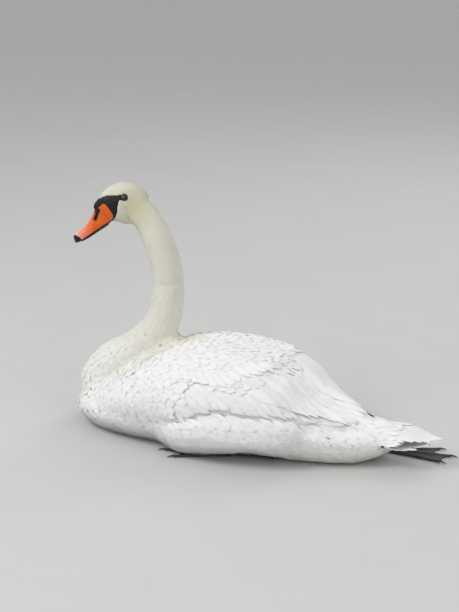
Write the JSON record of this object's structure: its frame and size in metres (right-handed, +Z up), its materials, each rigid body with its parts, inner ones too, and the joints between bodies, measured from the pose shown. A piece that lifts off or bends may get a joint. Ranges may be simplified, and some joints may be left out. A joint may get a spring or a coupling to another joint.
{
  "type": "mute swan model",
  "caption": "Life-size mute swan resting on its belly with folded wings, an S-curved raised neck and one foot stretched back past the tail.",
  "frame": {"origin": "middle of the foot of the bounding box, on the floor that the bird rests on", "axes": "+X from the breast to the tail, +Y to the bird's right, +Z up"},
  "size_m": [0.764, 0.3396, 0.4856],
  "materials": {
    "body_plumage": "soft white feathers",
    "head_plumage": "short cream feathers",
    "bill_orange": "smooth horn, pinker to the tip",
    "bill_black": "smooth black horn and skin",
    "eye": "wet and glossy",
    "foot_skin": "scaly dark grey skin"
  },
  "bodies": {
    "root": {"head": "head_plumage", "bill_upper": "bill_orange", "bill_lower": "bill_black", "bill_knob": "bill_black", "bill_nail": "bill_black", "eye_left": "eye", "eye_right": "eye", "neck_upper": "head_plumage", "neck_middle": "head_plumage", "neck_lower": "body_plumage", "trunk": "body_plumage", "wing_left": "body_plumage", "wing_right": "body_plumage", "flank_left": "body_plumage", "flank_right": "body_plumage", "tail": "body_plumage", "foot_left": "foot_skin", "leg_left": "foot_skin", "foot_right": "foot_skin", "leg_right": "foot_skin"}
  },
  "joints": []
}
